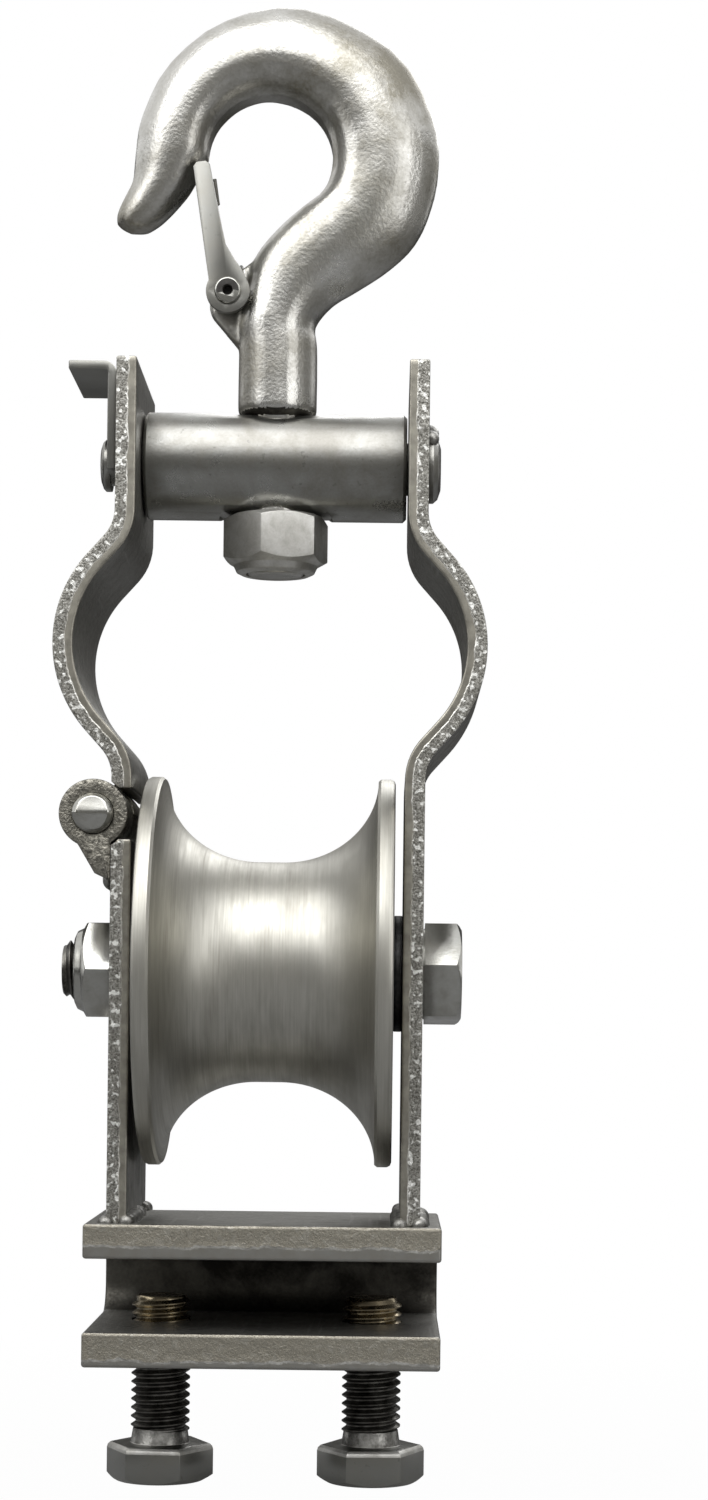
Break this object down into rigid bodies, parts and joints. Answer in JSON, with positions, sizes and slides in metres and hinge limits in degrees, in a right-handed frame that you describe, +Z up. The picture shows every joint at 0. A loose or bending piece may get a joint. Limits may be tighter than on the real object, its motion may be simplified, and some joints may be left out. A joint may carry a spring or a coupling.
{
  "type": "cable pulley",
  "caption": "Hook-hung cable pulley with a sprung hook latch, a swivel cross bar, a hinged side strap, a grooved wheel on bearings and a screw clamp below.",
  "frame": {"origin": "the point inside the top of the hook where the load line bears", "axes": "+Z up along the hook shank, +X towards the fixed strap with the bolt head, -Y towards the open front of the clamp"},
  "size_m": [0.0852, 0.0786, 0.2995],
  "materials": {
    "forged_steel": "mottled zinc over a forged surface",
    "plated_bar": "turned and zinc plated",
    "plated_strap": "zinc plated flat bar",
    "plated_clamp": "zinc plated bent plate",
    "turned_wheel": "lathe turned and zinc plated",
    "bright_fastener": "bright zinc",
    "weld": "plated weld bead",
    "sheet_latch": "satin plated sheet",
    "spring_wire": "dark drawn wire",
    "bearing_steel": "ground",
    "shield": "pressed",
    "nylon": "natural nylon"
  },
  "bodies": {
    "hook": {"hook": "forged_steel", "hook_nut": "bright_fastener", "hook_nut_insert": "nylon", "latch_rivet": "bright_fastener", "latch_spring": "spring_wire"},
    "latch": {"latch": "sheet_latch"},
    "bar": {"cross_bar": "plated_bar"},
    "frame": {"fixed_strap": "plated_strap", "lower_strap": "plated_strap", "frame_eyes": "plated_bar", "hinge_pin": "bright_fastener", "clamp_body": "plated_clamp", "strap_welds": "weld", "bearing_inner_rings": "bearing_steel", "bearing_spacer": "plated_bar", "spacer_washers": "shield", "axle_bolt": "bright_fastener", "axle_nut": "bright_fastener", "axle_nut_insert": "nylon"},
    "gate": {"gate_strap": "plated_strap", "gate_eye": "plated_bar"},
    "lock": {"lock_plate": "sheet_latch"},
    "wheel": {"sheave_wheel": "turned_wheel", "bearing_outer_rings": "bearing_steel", "bearing_balls": "bearing_steel", "bearing_shields": "shield"},
    "screw_left": {"clamp_screw_left": "bright_fastener"},
    "screw_right": {"clamp_screw_right": "bright_fastener"}
  },
  "joints": [
    {"name": "latch_pivot", "type": "hinge", "parent": "hook", "child": "latch", "pos_m": [-0.01, 0, -0.0407], "axis": [0, 1, 0], "range_deg": [0, 28], "stiffness_Nm_per_rad": 0.01, "springref_deg": -34.38},
    {"name": "hook_swivel", "type": "hinge", "parent": "hook", "child": "bar", "pos_m": [0, 0, -0.0749], "axis": [0, 0, 1], "continuous": true},
    {"name": "frame_tilt", "type": "hinge", "parent": "bar", "child": "frame", "pos_m": [0, 0, -0.0749], "axis": [1, 0, 0], "range_deg": [-90, 90]},
    {"name": "gate_hinge", "type": "hinge", "parent": "frame", "child": "gate", "pos_m": [-0.03425, 0, -0.14707], "axis": [0, -1, 0], "range_deg": [0, 100]},
    {"name": "lock_lift", "type": "slide", "parent": "gate", "child": "lock", "axis": [0, 0, 1], "range_m": [0, 0.011]},
    {"name": "wheel_spin", "type": "hinge", "parent": "frame", "child": "wheel", "pos_m": [0, 0, -0.1775], "axis": [1, 0, 0], "continuous": true},
    {"name": "screw_left_feed", "type": "slide", "parent": "frame", "child": "screw_left", "axis": [0, 0, 1], "range_m": [-0.0045, 0.009]},
    {"name": "screw_right_feed", "type": "slide", "parent": "frame", "child": "screw_right", "axis": [0, 0, 1], "range_m": [-0.0045, 0.009]}
  ]
}
